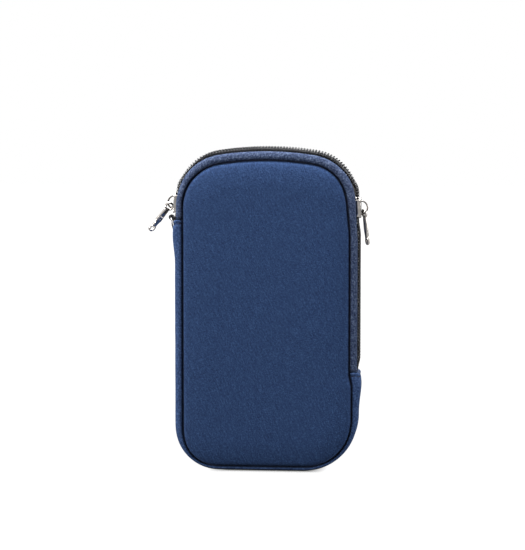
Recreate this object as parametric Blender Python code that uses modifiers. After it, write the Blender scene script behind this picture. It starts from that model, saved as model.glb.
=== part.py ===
"""Zipped neoprene phone sleeve, mouth open at the top, two sliders on one coil zip.

Metres, +Z up, the front panel faces -Y. The origin is the middle of the flat underside.
"""

from math import acos, cos, pi, radians, sin

import bmesh
import bpy
from mathutils import Matrix, Vector

MM = 0.001
CLEAR = 0.3 * MM  # gap where two pieces touch
weld_gap = 0.01 * MM

# Outline of the sleeve's skin, seen from the front
half_width = 45.3 * MM
low_corner_right = 26.5 * MM
low_corner_left = 21.5 * MM
top_corner_radius = 26 * MM
crown_radius = 150 * MM
shoulder_height = 130.1 * MM  # height of the top corners' centres
seam_half_depth = 9.2 * MM
side_inset = 4.0 * MM  # from the skin to the panel seam
bottom_inset = 3.2 * MM
gusset_side_inset = 2.8 * MM  # the same on the right, under the zip's end
inset_run = 7 * MM  # and over this length it changes

# Neoprene
panel_thickness = 3.0 * MM
panel_crown = 1.8 * MM  # how far the panel swells past its seam
panel_roll = 0.5 * MM  # how far the panel's edge dips behind its seam
panel_swell_run = 12 * MM  # the swell is spread over this much of the edge
seam_thickness = 2.4 * MM
edge_thickness = 1.3 * MM  # the stitched edge along the zip
panel_run_shares = (0.0, 0.04, 0.13, 0.33, 0.66, 1.0)
panel_rise_shares = (0.0, 0.26, 0.52, 0.78, 0.96, 1.0)
band_turns = (0.0, 22.0, 45.0, 67.0, 90.0)  # degrees round the band's bend
gusset_bulge_right = 1.2 * MM
gusset_run_right = 14 * MM
gusset_bulge_left = 0.4 * MM
gusset_run_left = 6 * MM
binding_radius = 0.9 * MM
binding_inset = 1.0 * MM  # from the seam
binding_depth = 5.95 * MM

# Zip: heights count outward from the skin
zip_end_right = 48.3 * MM
left_end_drop = 5.7 * MM  # the left end lies this far under the shoulder
chain_end_gap = 2.2 * MM  # room for the strap loop past the chain
coil_pitch = 1.45 * MM
coil_height = 1.4 * MM
coil_width = 2.5 * MM
coil_bite = 0.45 * MM  # how far a nose crosses the middle
tooth_depth = 1.2 * MM
coil_floor = -1.3 * MM  # in the sliders
chain_rise = 0.9 * MM  # and this much higher between them
end_tuck = 1.3 * MM  # the chain dips by this at its right end
end_tuck_run = 8 * MM
tape_thickness = 0.5 * MM
tape_nose_gap = 1.55 * MM  # the tape's edge lies this far behind the coil's nose
tape_turn_gap = 2.9 * MM  # and bends under the band from here
tape_tuck_turns = (16.0, 32.0, 50.0)
closed_edge_depth = 5.2 * MM  # band edge where the zip is closed
open_edge_depth = 7.2 * MM
open_edge_rise = 0.3 * MM
open_nose_height = 2.7 * MM
open_nose_depth = 5.3 * MM
open_run = 26 * MM  # the mouth reaches its full width over this length

# Sliders
slider_length = 10.2 * MM
slider_rise_right = 0.1 * MM  # from the shoulder to the slider's middle
slider_rise_left = 2.1 * MM
plate_thickness = 0.8 * MM
plate_edge = 0.12 * MM
slider_front_half = 4.75 * MM
slider_tail_half = 3.25 * MM
flange_width = 0.85 * MM
post_half = 0.8 * MM
post_gap = 0.2 * MM
spread_back = 2.0 * MM  # the rows part from here behind the slider's middle
spread_run = 5.0 * MM
straight_half = 5.6 * MM  # the chain runs straight this far each way in a slider
straight_fade = 8.0 * MM
corner_cut = 1.1 * MM  # the shields' cut corners
post_tip = 0.9 * MM  # where the post starts, from the slider's middle
post_tip_share = 0.17  # half widths of the post along its length, as shares of post_half
post_rise_share = 0.6
post_end_share = 0.5
pocket_depth = 0.4 * MM  # the crown's feet stand in pockets

# Crown: the arch that carries the pull
arch_radius = 3.3 * MM
arch_strip = 0.75 * MM
arch_width = 1.9 * MM
arch_sink = 0.2 * MM  # the arch's centre lies this far under the plate's face
arch_foot_gap = 0.12 * MM

# Pull
pull_length = 18.0 * MM
head_thickness = 1.2 * MM
head_half = 2.85 * MM
eye_half = 2.0 * MM
eye_height = 2.5 * MM
head_wall = 0.85 * MM
bar_thickness = 1.5 * MM
bar_half_top = 1.45 * MM
bar_half_low = 1.9 * MM
neck_half = 1.3 * MM
end_radius = 2.05 * MM
end_hole = 1.0 * MM
recess_depth = 0.25 * MM
recess_rim = 0.55 * MM
pull_edge = 0.15 * MM
bar_edge = 0.3 * MM
head_top_share = 0.6  # half widths of the head, as shares of head_half
head_shoulder_share = 0.93
head_low_share = 0.95
eye_corner_share = 0.75  # the eye's cut corners, as shares of its half and its height
eye_side_share = 0.3
bar_sink_share = 0.7  # the bar starts this far into the head's wall
bar_root_share = 0.85
bar_taper_share = 1.6  # from the bar's end back to its full width, in neck halves
recess_start_share = 1.5  # in head walls from the bar's start
recess_end_share = 2.2  # in neck halves from the bar's end
neck_sink_share = 0.6  # the neck runs this far into the end ring, in its radius
neck_reach_share = 1.5
end_thickness_share = 0.9
ring_count = 16
hole_count = 12
right_head_angle = 32.0  # degrees round the arch from straight down
right_lean = 6.0  # degrees from hanging straight
left_head_angle = 51.0
left_lean = 34.0
left_twist = 37.0
right_twist = -20.0

# Strap loop and ring at the left end
loop_eye_out = 2.5 * MM  # from the skin to the middle of the eye
loop_eye_rise = 0.6 * MM  # from the zip's left end to the eye
loop_hole = 0.75 * MM
loop_wall = 0.6 * MM
loop_width = 2.6 * MM
stem_thickness = 1.4 * MM
stem_inside = 4.2 * MM
rim_start = 80.0  # degrees round the eye at which its rim meets the stem at the latest
ring_radius = 3.5 * MM
ring_wire = 0.4 * MM
ring_lean = 12.0

# Steps of the round stretches
corner_step = 3.4 * MM
crown_step = 8 * MM
slider_step = 1.3 * MM
arc_count = 14  # points round half a turn

for old in list(bpy.data.objects):
    bpy.data.objects.remove(old, do_unlink=True)

sleeve = bpy.data.collections.new("phone_sleeve")
tools = bpy.data.collections.new("cutters")
bpy.context.scene.collection.children.link(sleeve)
bpy.context.scene.collection.children.link(tools)


# Skin outline: arc length runs from the middle of the bottom, up the right side
corner_angle = acos((half_width - top_corner_radius) / (crown_radius - top_corner_radius))
crown_centre = shoulder_height - (crown_radius - top_corner_radius) * sin(corner_angle)


def arc_marks(low_radius):
    """Arc lengths at which one half's low corner, side, top corner and crown start, and its end."""
    corner = half_width - low_radius
    side = corner + low_radius * pi / 2
    shoulder = side + shoulder_height - low_radius
    crown = shoulder + top_corner_radius * corner_angle
    return corner, side, shoulder, crown, crown + crown_radius * (pi / 2 - corner_angle)


right_marks = arc_marks(low_corner_right)
left_marks = arc_marks(low_corner_left)
whole_length = right_marks[-1] + left_marks[-1]


def half_frame(s, low_radius, marks):
    """Point and outward normal at arc length s of a half drawn on the right."""
    corner, side, shoulder, crown, _ = marks
    if s <= corner:
        return Vector((s, 0, 0)), Vector((0, 0, -1))
    if s <= side:
        turn = (s - corner) / low_radius
        normal = Vector((sin(turn), 0, -cos(turn)))
        return Vector((corner, 0, low_radius)) + low_radius * normal, normal
    if s <= shoulder:
        return Vector((half_width, 0, low_radius + s - side)), Vector((1, 0, 0))
    if s <= crown:
        turn = (s - shoulder) / top_corner_radius
        normal = Vector((cos(turn), 0, sin(turn)))
        centre = Vector((half_width - top_corner_radius, 0, shoulder_height))
        return centre + top_corner_radius * normal, normal
    turn = corner_angle + (s - crown) / crown_radius
    normal = Vector((cos(turn), 0, sin(turn)))
    return Vector((0, 0, crown_centre)) + crown_radius * normal, normal


def skin_frame(s):
    """Point and outward normal at arc length s, all the way round."""
    if s <= right_marks[-1]:
        return half_frame(s, low_corner_right, right_marks)
    point, normal = half_frame(whole_length - s, low_corner_left, left_marks)
    return Vector((-point.x, 0, point.z)), Vector((-normal.x, 0, normal.z))


def right_length(height):
    """Arc length at a height on the right side."""
    return right_marks[1] + height - low_corner_right


def left_length(height):
    return whole_length - (left_marks[1] + height - low_corner_left)


zip_end_left = shoulder_height - left_end_drop
right_slider_s = right_length(shoulder_height + slider_rise_right)
left_slider_s = left_length(shoulder_height + slider_rise_left)
band_start = right_length(zip_end_right) + CLEAR
band_end = left_length(zip_end_left) - CLEAR
chain_end = left_length(zip_end_left + chain_end_gap)


def smooth(x):
    """Eases from 0 to 1 as x goes from 0 to 1."""
    x = min(1.0, max(0.0, x))
    return x * x * (3 - 2 * x)


def mouthward(s):
    """How far s lies past the middle of the nearest slider, on the mouth's side."""
    return min(s - right_slider_s, left_slider_s - s)


def spread_share(s):
    return smooth((mouthward(s) + spread_back) / spread_run)


def open_share(s):
    return smooth((mouthward(s) - slider_length / 2) / open_run)


def slider_hold(s, middle):
    """1 inside a slider, where the chain is held straight, fading to 0 on both sides."""
    return 1 - smooth((abs(s - middle) - straight_half) / straight_fade)


def chain_frame(s):
    """As skin_frame, but straight inside a slider, as the chain is pulled."""
    point, normal = skin_frame(s)
    for middle in (right_slider_s, left_slider_s):
        hold = slider_hold(s, middle)
        if hold > 0:
            start, out = skin_frame(middle)
            along = Vector((-out.z, 0, out.x))
            point = point.lerp(start + (s - middle) * along, hold)
            normal = normal.lerp(out, hold).normalized()
    return point, normal


def seam_inset(point):
    """From the skin to the panel seam: least at the bottom and beside the gusset's right run."""
    side, corner = side_inset, low_corner_left
    if point.x > 0:
        under_end = smooth((zip_end_right - point.z) / inset_run)
        side += (gusset_side_inset - side_inset) * under_end
        corner = low_corner_right
    return bottom_inset + (side - bottom_inset) * smooth(point.z / corner)


def place(frame, height, depth):
    """A section point in space: height along the normal, depth along Y."""
    point, normal = frame
    return point + normal * height + Vector((0, depth, 0))


# Materials
def material(name, colour, roughness, metallic=0.0):
    made = bpy.data.materials.new(name)
    made.use_nodes = True
    shader = made.node_tree.nodes["Principled BSDF"]
    shader.inputs["Base Color"].default_value = (*colour, 1.0)
    shader.inputs["Roughness"].default_value = roughness
    shader.inputs["Metallic"].default_value = metallic
    return made


navy_knit = (0.025, 0.051, 0.127)
band_knit = (0.045, 0.068, 0.15)
black_weave = (0.008, 0.008, 0.011)
coil_nylon = (0.03, 0.028, 0.036)
nickel = (0.62, 0.61, 0.6)


def finish(thing, colour, roughness, metallic=0.0, round_angle=None):
    """Names the mesh, gives it its own material and shades it smooth up to an angle."""
    thing.data.name = thing.name
    thing.data.materials.clear()
    thing.data.materials.append(material(thing.name + "_finish", colour, roughness, metallic))
    if round_angle is not None:
        thing.data.shade_smooth()
        thing.data.set_sharp_from_angle(angle=radians(round_angle))
    return thing


def add_object(name, mesh, collection=sleeve):
    thing = bpy.data.objects.new(name, mesh)
    collection.objects.link(thing)
    return thing


def loft(name, rings, closed=False):
    """Joins sections of equal count into one closed skin; the ends are capped unless it runs round."""
    shape = bmesh.new()
    rows = [[shape.verts.new(p) for p in ring] for ring in rings]
    pairs = list(zip(rows, rows[1:]))
    if closed:
        pairs.append((rows[-1], rows[0]))
    for one, two in pairs:
        for i in range(len(one)):
            j = (i + 1) % len(one)
            shape.faces.new((one[i], one[j], two[j], two[i]))
    if not closed:
        shape.faces.new(rows[0])
        shape.faces.new(rows[-1])
    bmesh.ops.recalc_face_normals(shape, faces=shape.faces)
    mesh = bpy.data.meshes.new(name)
    shape.to_mesh(mesh)
    shape.free()
    return add_object(name, mesh)


def flat_piece(name, outline, thickness, holes=(), edge=0.0, collection=sleeve):
    """A flat outline in its own XY plane, thickened both ways along Z, as a welded mesh."""
    curve = bpy.data.curves.new(name, "CURVE")
    curve.dimensions = "2D"
    curve.fill_mode = "BOTH"
    curve.extrude = thickness / 2 - edge
    curve.bevel_depth = edge
    curve.bevel_resolution = 0
    curve.offset = -edge
    for loop in (outline, *holes):
        line = curve.splines.new("POLY")
        line.points.add(len(loop) - 1)
        for point, (x, y) in zip(line.points, loop):
            point.co = (x, y, 0, 1)
        line.use_cyclic_u = True
    return curve_to_mesh(add_object(name, curve, collection), collection)


def curve_to_mesh(drawn, collection=sleeve):
    """Replaces a curve object by its mesh, with the loose caps welded on."""
    bpy.context.view_layer.update()
    graph = bpy.context.evaluated_depsgraph_get()
    mesh = bpy.data.meshes.new_from_object(drawn.evaluated_get(graph))
    name = drawn.name
    place_in_world = drawn.matrix_world.copy()
    bpy.data.objects.remove(drawn, do_unlink=True)
    shape = bmesh.new()
    shape.from_mesh(mesh)
    bmesh.ops.remove_doubles(shape, verts=shape.verts, dist=weld_gap)
    bmesh.ops.recalc_face_normals(shape, faces=shape.faces)
    shape.to_mesh(mesh)
    shape.free()
    thing = add_object(name, mesh, collection)
    thing.name = name
    thing.matrix_world = place_in_world
    return thing


def combine(thing, other, operation="UNION"):
    """Adds a Boolean with another object, which becomes a hidden tool."""
    change = thing.modifiers.new(other.name, "BOOLEAN")
    change.operation = operation
    change.object = other
    other.hide_render = True
    other.display_type = "WIRE"


def arc(centre_x, centre_y, radius, start, end, count):
    """Points of an arc in a plane, angles in degrees."""
    steps = [start + (end - start) * i / (count - 1) for i in range(count)]
    return [
        (centre_x + radius * cos(radians(a)), centre_y + radius * sin(radians(a))) for a in steps
    ]


def circle(centre_x, radius, count):
    return arc(centre_x, 0, radius, 0, 360 - 360 / count, count)


# Sections of the band, tape and coil; side is -1 for the front and 1 for the rear
def bend_point(s, turn, inward=0.0):
    """Height and depth on the band's bend, moved inward from its outer face."""
    share = open_share(s)
    inset = seam_inset(skin_frame(s)[0]) - CLEAR / 2
    edge = closed_edge_depth + (open_edge_depth - closed_edge_depth) * share
    reach = inset + open_edge_rise * share
    bulge = seam_half_depth - edge
    angle = radians(turn)
    out = Vector((cos(angle) / reach, sin(angle) / bulge)).normalized()
    height = -inset + reach * cos(angle) - out.x * inward
    depth = edge + bulge * sin(angle) - out.y * inward
    return height, depth


def band_wall(turn):
    return edge_thickness + (seam_thickness - edge_thickness) * turn / band_turns[-1]


def band_ring(s, side):
    frame = skin_frame(s)
    outer = [bend_point(s, turn) for turn in band_turns]
    inner = [bend_point(s, turn, band_wall(turn)) for turn in reversed(band_turns)]
    return [place(frame, height, side * depth) for height, depth in outer + inner]


def chain_point(s, back, up):
    """Height and depth in the coil row: back from its nose, up from its floor."""
    share = open_share(s)
    start_depth = -coil_bite + (coil_bite + post_half + post_gap) * spread_share(s)
    nose_depth = start_depth + (open_nose_depth - post_half - post_gap) * share
    hold = max(slider_hold(s, right_slider_s), slider_hold(s, left_slider_s))
    floor = coil_floor + chain_rise * (1 - hold)
    nose_height = floor + (open_nose_height - floor) * share
    nose_height -= end_tuck * smooth(1 - (s - band_start) / end_tuck_run)
    tilt = share * pi / 2
    height = nose_height - back * sin(tilt) + up * cos(tilt)
    depth = nose_depth + back * cos(tilt) + up * sin(tilt)
    return height, depth


def coil_ring(s, side, nose):
    frame = chain_frame(s)
    corners = ((nose, coil_height), (coil_width, coil_height), (coil_width, 0), (nose, 0))
    points = [chain_point(s, back, up) for back, up in corners]
    return [place(frame, height, side * depth) for height, depth in points]


def tape_line(s, side):
    """The tape's middle line: under the coil, then tucked under the band."""
    level = -(CLEAR + tape_thickness / 2)
    line = []
    for back in (tape_nose_gap, tape_turn_gap):
        height, depth = chain_point(s, back, level)
        line.append(place(chain_frame(s), height, side * depth))
    for turn in tape_tuck_turns:
        height, depth = bend_point(s, turn, band_wall(turn) - level)
        line.append(place(skin_frame(s), height, side * depth))
    return line


def tape_ring(s, side):
    line = tape_line(s, side)
    normal = skin_frame(s)[1]
    across = Vector((0, side, 0))
    upper, lower = [], []
    for i, point in enumerate(line):
        run = (line[min(i + 1, len(line) - 1)] - line[max(i - 1, 0)]).normalized()
        out = (normal * run.dot(across) - across * run.dot(normal)).normalized()
        upper.append(point + out * tape_thickness / 2)
        lower.append(point - out * tape_thickness / 2)
    return upper + lower[::-1]


def steps_between(start, end, step):
    count = max(1, round((end - start) / step))
    return [start + (end - start) * i / count for i in range(count)]


def zip_stations(start, end):
    """Arc lengths for the zip's lofts: sparse on the straight run, close in sliders and bends."""
    throat = slider_length / 2 + straight_fade
    right_crown = right_marks[3]
    left_crown = whole_length - left_marks[3]
    marks = [
        (start, start + end_tuck_run, end_tuck_run / 4),
        (start + end_tuck_run, right_slider_s - throat, end - start),
        (right_slider_s - throat, right_slider_s - spread_back, corner_step),
        (right_slider_s - spread_back, right_slider_s + spread_run, slider_step),
        (right_slider_s + spread_run, right_crown, corner_step),
        (right_crown, left_crown, crown_step),
        (left_crown, left_slider_s - throat, corner_step),
        (left_slider_s - throat, left_slider_s - spread_run, corner_step),
        (left_slider_s - spread_run, left_slider_s + spread_back, slider_step),
        (left_slider_s + spread_back, end, end - start),
    ]
    found = []
    for first, last, step in marks:
        found += steps_between(first, last, step)
    return found + [end]


sides = {"front": -1, "rear": 1}

for where, side in sides.items():
    rings = [band_ring(s, side) for s in zip_stations(band_start, band_end)]
    finish(loft(where + "_zip_band", rings), band_knit, 0.85, round_angle=50)
    rings = [tape_ring(s, side) for s in zip_stations(band_start, chain_end)]
    finish(loft(where + "_zip_tape", rings), black_weave, 0.8, round_angle=40)

# Coil rows: noses and hollows alternate, and the rear row is half a pitch on
half_pitches = round((chain_end - band_start) / (coil_pitch / 2))
for where, side in sides.items():
    rings = []
    for i in range(half_pitches + 1):
        s = band_start + i * (chain_end - band_start) / half_pitches
        is_nose = (i + (side > 0)) % 2 == 0
        rings.append(coil_ring(s, side, 0 if is_nose else tooth_depth))
    finish(loft(where + "_zip_coil", rings), coil_nylon, 0.4)


# Lower gusset: from the left zip end down, round the bottom and up to the right zip end
def gusset_ring(s):
    frame = skin_frame(s % whole_length)
    inset = seam_inset(frame[0]) - CLEAR / 2
    bulge = seam_half_depth - closed_edge_depth
    lift = gusset_bulge_left * smooth(1 - (s - gusset_left) / gusset_run_left)
    lift += gusset_bulge_right * smooth(1 - (gusset_right - s) / gusset_run_right)
    outer, inner = [], []
    for turn in reversed(band_turns):
        angle = radians(turn)
        out = Vector((cos(angle) / inset, sin(angle) / bulge)).normalized()
        height = -inset + (inset + lift) * cos(angle)
        depth = closed_edge_depth + bulge * sin(angle)
        outer.append((height, depth))
        inner.append((height - out.x * seam_thickness, depth - out.y * seam_thickness))
    half = [(h, -d) for h, d in outer] + [(h, d) for h, d in reversed(outer)]
    back = [(h, d) for h, d in inner] + [(h, -d) for h, d in reversed(inner)]
    return [place(frame, height, depth) for height, depth in half + back]


gusset_right = right_length(zip_end_right)
gusset_left = left_length(zip_end_left) - whole_length

gusset_stations = []
for first, last, step in (
    (gusset_left, gusset_left + gusset_run_left, gusset_run_left / 2),
    (gusset_left + gusset_run_left, -left_marks[1], whole_length),
    (-left_marks[1], -left_marks[0], corner_step),
    (-left_marks[0], right_marks[0], whole_length),
    (right_marks[0], right_marks[1], corner_step),
    (right_marks[1], gusset_right - gusset_run_right, whole_length),
    (gusset_right - gusset_run_right, gusset_right, gusset_run_right / 4),
):
    gusset_stations += steps_between(first, last, step)
gusset_stations.append(gusset_right)


finish(loft("lower_gusset", [gusset_ring(s) for s in gusset_stations]), navy_knit, 0.85, round_angle=50)


# Panels: an open swelling surface, thickened inward
def half_stations(marks, extra):
    """Arc lengths along one half, with extra stations on its straight side."""
    corner, side, shoulder, crown, end = marks
    found = []
    for first, last, step in (
        (0, corner, corner),
        (corner, side, corner_step),
        (shoulder, crown, corner_step),
        (crown, end, crown_step),
    ):
        if first == shoulder:
            found += [side, *extra]
        found += steps_between(first, last, step)
    return found + [end]


def outline_stations():
    end = right_length(zip_end_right)
    right = half_stations(right_marks, (end - inset_run, end - inset_run / 2, end))
    left = half_stations(left_marks, ())
    return right + [whole_length - s for s in reversed(left[1:-1])]


def inset_point(s, extra, depth):
    point, normal = skin_frame(s)
    return point - normal * (seam_inset(point) + extra) + Vector((0, depth, 0))


for where, side in sides.items():
    shape = bmesh.new()
    rows = []
    for run_share, rise_share in zip(panel_run_shares, panel_rise_shares):
        inward = CLEAR / 2 + panel_swell_run * run_share
        rise = (panel_crown + panel_roll) * rise_share
        depth = side * (seam_half_depth - panel_roll + rise)
        rows.append([shape.verts.new(inset_point(s, inward, depth)) for s in outline_stations()])
    for one, two in zip(rows, rows[1:]):
        for i in range(len(one)):
            j = (i + 1) % len(one)
            shape.faces.new((one[i], one[j], two[j], two[i]))
    shape.faces.new(rows[-1])
    bmesh.ops.recalc_face_normals(shape, faces=shape.faces)
    if sum(face.normal.y * face.calc_area() for face in shape.faces) * side < 0:
        bmesh.ops.reverse_faces(shape, faces=shape.faces)
    mesh = bpy.data.meshes.new(where + "_panel")
    shape.to_mesh(mesh)
    shape.free()
    panel = add_object(where + "_panel", mesh)
    wall = panel.modifiers.new("neoprene", "SOLIDIFY")
    wall.thickness = panel_thickness
    wall.offset = -1
    wall.use_even_offset = True
    finish(panel, navy_knit, 0.85, round_angle=60)

# Seam bindings: cord-like tape over the raw seams inside
for where, side in sides.items():
    curve = bpy.data.curves.new(where + "_seam_binding", "CURVE")
    curve.dimensions = "3D"
    curve.bevel_depth = binding_radius
    curve.bevel_resolution = 1
    line = curve.splines.new("POLY")
    places = [inset_point(s, binding_inset, side * binding_depth) for s in outline_stations()]
    line.points.add(len(places) - 1)
    for point, place_at in zip(line.points, places):
        point.co = (*place_at, 1)
    line.use_cyclic_u = True
    binding = curve_to_mesh(add_object(where + "_seam_binding", curve))
    finish(binding, black_weave, 0.8, round_angle=60)


# Slider body, in its own frame: X to the mouth, Y across, Z outward, the skin at Z 0
tail = -slider_length / 2
front = slider_length / 2
channel_floor = coil_floor - 2 * CLEAR - tape_thickness
channel_roof = coil_floor + coil_height + CLEAR
plate_top = channel_roof + plate_thickness
flange_foot = coil_floor
widen_start = -spread_back
widen_end = spread_run - spread_back


def mirrored(points):
    """A closed outline from the half at +Y, run from the tail to the front."""
    return points + [(x, -y) for x, y in reversed(points)]


def half_at(x, tail_half, front_half):
    share = min(1.0, max(0.0, (x - widen_start) / (widen_end - widen_start)))
    return tail_half + (front_half - tail_half) * share


def slider_outline():
    return mirrored([
        (tail, slider_tail_half - corner_cut / 2),
        (tail + corner_cut / 2, slider_tail_half),
        (widen_start, slider_tail_half),
        (widen_end, slider_front_half),
        (front - corner_cut, slider_front_half),
        (front, slider_front_half - corner_cut),
    ])


def flange_outline(side):
    outer = [
        (tail + corner_cut / 2, slider_tail_half),
        (widen_start, slider_tail_half),
        (widen_end, slider_front_half),
        (front - corner_cut, slider_front_half),
    ]
    return [(x, side * y) for x, y in outer] + [
        (x, side * (y - flange_width)) for x, y in reversed(outer)
    ]


def raised(thing, height):
    thing.location.z = height
    return thing


def slider_mesh():
    """One body: two shields, a diamond post between them and a flange each side."""
    thickness = plate_thickness
    roof = raised(
        flat_piece("slider_shield", slider_outline(), thickness, edge=plate_edge, collection=tools),
        channel_roof + thickness / 2,
    )
    floor = raised(
        flat_piece("slider_floor", slider_outline(), thickness, edge=plate_edge, collection=tools),
        channel_floor - thickness / 2,
    )
    post_outline = mirrored([
        (post_tip, post_half * post_tip_share),
        (post_tip + post_half, post_half * post_rise_share),
        (widen_end, post_half),
        (front - corner_cut / 2, post_half),
        (front - plate_edge, post_half * post_end_share),
    ])
    post_height = channel_roof - channel_floor + thickness
    post = raised(
        flat_piece("slider_post", post_outline, post_height, collection=tools),
        (channel_roof + channel_floor) / 2,
    )
    flange_height = channel_roof + thickness / 2 - flange_foot
    combine(roof, floor)
    combine(roof, post)
    for side in (1, -1):
        flange = raised(
            flat_piece("slider_flange", flange_outline(side), flange_height, collection=tools),
            flange_foot + flange_height / 2,
        )
        combine(roof, flange)
    for foot in (-1, 1):
        pocket = flat_piece(
            "foot_pocket",
            mirrored([
                (foot * arch_radius - arch_strip / 2 - arch_foot_gap, arch_width / 2 + arch_foot_gap),
                (foot * arch_radius + arch_strip / 2 + arch_foot_gap, arch_width / 2 + arch_foot_gap),
            ]),
            pocket_depth * 2,
            collection=tools,
        )
        raised(pocket, channel_roof + thickness)
        combine(roof, pocket, "DIFFERENCE")
    bpy.context.view_layer.update()
    graph = bpy.context.evaluated_depsgraph_get()
    mesh = bpy.data.meshes.new_from_object(roof.evaluated_get(graph))
    mesh.transform(roof.matrix_world)
    roof.hide_render = True
    roof.display_type = "WIRE"
    return mesh


def slider_matrix(s, up_sign):
    """World placement of a slider's own frame at arc length s."""
    point, normal = skin_frame(s)
    along = Vector((-normal.z, 0, normal.x)) * up_sign
    across = normal.cross(along)
    axes = Matrix((along, across, normal)).transposed().to_4x4()
    return Matrix.Translation(point) @ axes


# Crown: a half ring on edge, its feet in the shield's pockets
def crown_outline():
    top = plate_top - arch_sink
    foot = plate_top - pocket_depth + arch_foot_gap
    outer = arc(0, top, arch_radius + arch_strip / 2, 0, 180, arc_count)
    inner = arc(0, top, arch_radius - arch_strip / 2, 180, 0, arc_count)
    reach = arch_radius + arch_strip / 2
    near = arch_radius - arch_strip / 2
    return [(reach, foot)] + outer + [(-reach, foot), (-near, foot)] + inner + [(near, foot)]


def crown_mesh():
    made = flat_piece("crown_blank", crown_outline(), arch_width, edge=plate_edge, collection=tools)
    made.data.transform(Matrix.Rotation(radians(90), 4, "X"))
    made.hide_render = True
    made.display_type = "WIRE"
    return made.data


# Pull, in its own frame: X down its length from the middle of the eye, Z through its thickness
def pull_mesh():
    bar_start = eye_height / 2 + head_wall * bar_sink_share
    end_centre = pull_length - end_radius - eye_height / 2 - head_wall
    bar_end = end_centre - end_radius * neck_reach_share
    top = -eye_height / 2 - head_wall
    head_outline = mirrored([
        (top, head_half * head_top_share),
        (top + head_wall, head_half * head_shoulder_share),
        (0, head_half),
        (eye_height / 2, head_half * head_low_share),
        (eye_height / 2 + head_wall, bar_half_top),
        (bar_start + head_wall * 2, bar_half_top),
    ])
    eye = mirrored([
        (-eye_height / 2, eye_half * eye_corner_share),
        (-eye_height * eye_side_share, eye_half),
        (eye_height * eye_side_share, eye_half),
        (eye_height / 2, eye_half * eye_corner_share),
    ])
    bar_outline = mirrored([
        (bar_start, bar_half_top * bar_root_share),
        (bar_start + head_wall, bar_half_top),
        (bar_end - neck_half * bar_taper_share, bar_half_low),
        (bar_end, neck_half),
        (end_centre - end_radius * neck_sink_share, neck_half),
    ])
    end_outline = circle(end_centre, end_radius, ring_count)
    end_eye = circle(end_centre, end_hole, hole_count)
    head = flat_piece("pull_head", head_outline, head_thickness, (eye,), pull_edge, tools)
    bar = flat_piece("pull_bar", bar_outline, bar_thickness, (), bar_edge, tools)
    end_thickness = bar_thickness * end_thickness_share
    end = flat_piece("pull_end", end_outline, end_thickness, (end_eye,), bar_edge, tools)
    combine(bar, head)
    combine(bar, end)
    recess_start = bar_start + head_wall * recess_start_share
    recess_end = bar_end - neck_half * recess_end_share
    recess_outline = mirrored([
        (recess_start, bar_half_top - recess_rim),
        (recess_end, bar_half_low - recess_rim),
    ])
    for side in (1, -1):
        recess = flat_piece("pull_recess", recess_outline, recess_depth * 2, collection=tools)
        raised(recess, side * bar_thickness / 2)
        combine(bar, recess, "DIFFERENCE")
    bpy.context.view_layer.update()
    graph = bpy.context.evaluated_depsgraph_get()
    mesh = bpy.data.meshes.new_from_object(bar.evaluated_get(graph))
    bar.hide_render = True
    bar.display_type = "WIRE"
    return mesh


def pull_matrix(slider_place, head_angle, lean, twist):
    """Hangs a pull from its crown: the head rides round the arch, the body leans outward."""
    centre = slider_place @ Vector((0, 0, plate_top - arch_sink))
    along = slider_place.to_3x3() @ Vector((1, 0, 0))
    out = slider_place.to_3x3() @ Vector((0, 0, 1))
    head = arch_radius * (sin(radians(head_angle)) * out - cos(radians(head_angle)) * along)
    down = sin(radians(lean)) * out - cos(radians(lean)) * along
    face = down.cross(Vector((0, 1, 0))).normalized()
    axes = Matrix((down, face.cross(down), face)).transposed()
    turned = axes.to_4x4() @ Matrix.Rotation(radians(twist), 4, "X")
    return centre, Matrix.Translation(centre + head) @ turned


def hold_at(thing, pivot, world):
    """Puts an object's origin on a pivot while its mesh stays where world places it."""
    thing.data.transform(Matrix.Translation(-pivot) @ world)
    thing.location = pivot


slider_form = slider_mesh()
crown_form = crown_mesh()
pull_form = pull_mesh()
left_corner = Vector((top_corner_radius - half_width, 0, shoulder_height))
poses = {
    "right": (right_slider_s, 1, right_head_angle, right_lean, right_twist),
    "left": (left_slider_s, -1, left_head_angle, left_lean, left_twist),
}
for where, (s, up_sign, head_angle, lean, twist) in poses.items():
    slider_place = slider_matrix(s, up_sign)
    pivot = left_corner if where == "left" else slider_place.to_translation()
    body = add_object(where + "_slider_body", slider_form.copy())
    hold_at(body, pivot, slider_place)
    finish(body, nickel, 0.22, 1.0, round_angle=35)
    crown = add_object(where + "_slider_crown", crown_form.copy())
    hold_at(crown, pivot, slider_place)
    finish(crown, nickel, 0.22, 1.0, round_angle=35)
    centre, pull_place = pull_matrix(slider_place, head_angle, lean, twist)
    pull = add_object(where + "_pull", pull_form.copy())
    hold_at(pull, centre, pull_place)
    finish(pull, nickel, 0.2, 1.0, round_angle=35)

# Strap loop: a folded webbing eye on a stem that goes in between the zip's end and the gusset
eye_middle = Vector((-half_width - loop_eye_out, 0, zip_end_left + loop_eye_rise))
loop_radius = loop_hole + loop_wall
stem_low = CLEAR - loop_eye_rise
stem_high = stem_low + stem_thickness
stem_end = loop_eye_out + stem_inside
low_turn = 360 + 180 / pi * (stem_low / loop_radius)
high_turn = 180 / pi * (stem_high / loop_radius)


def loop_outline():
    rim = arc(0, 0, loop_radius, min(high_turn, rim_start), low_turn, arc_count)
    return [(stem_end, stem_low), (stem_end, stem_high)] + rim


loop_eye = circle(0, loop_hole, hole_count)
strap_loop = flat_piece("strap_loop", loop_outline(), loop_width, (loop_eye,))
strap_loop.data.transform(Matrix.Rotation(radians(90), 4, "X"))
strap_loop.location = eye_middle
finish(strap_loop, black_weave, 0.8, round_angle=40)

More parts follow.
